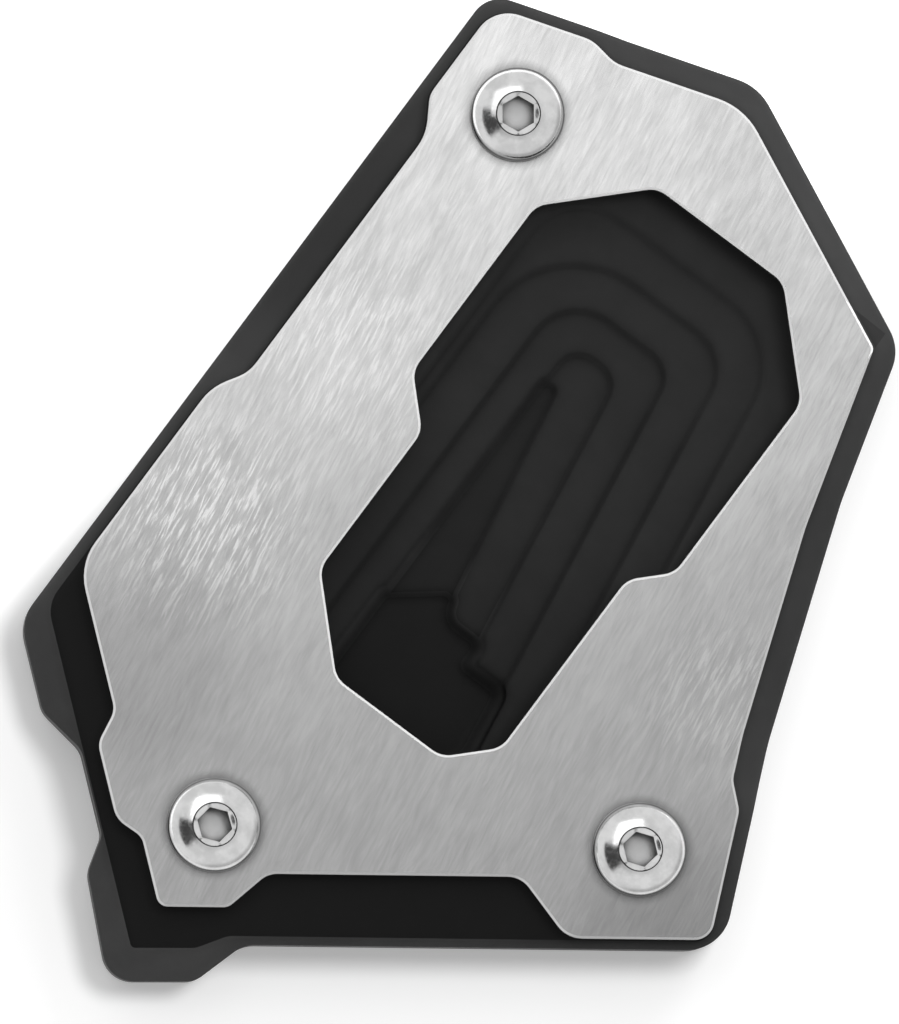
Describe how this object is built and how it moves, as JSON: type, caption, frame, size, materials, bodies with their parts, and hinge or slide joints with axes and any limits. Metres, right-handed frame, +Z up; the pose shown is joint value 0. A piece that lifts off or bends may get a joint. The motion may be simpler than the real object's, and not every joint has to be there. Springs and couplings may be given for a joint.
{
  "type": "kickstand foot enlarger",
  "caption": "Milled black base plate with a stepped pocket for a side stand's foot, and a brushed steel clamp plate with a window, held on by button head screws.",
  "frame": {"origin": "on the ground, under the middle of the base's footprint", "axes": "+Z up through the base and the clamp plate; +Y along the window, towards its wide end; +X across it"},
  "size_m": [0.0838, 0.1224, 0.0173],
  "materials": {
    "base_black": "black anodised, satin",
    "plate_steel": "brushed",
    "screw_steel": "polished"
  },
  "bodies": {
    "root": {"base": "base_black", "clamp_plate": "plate_steel", "clamp_screw_crown": "screw_steel", "clamp_screw_toe": "screw_steel", "clamp_screw_heel": "screw_steel"}
  },
  "joints": []
}
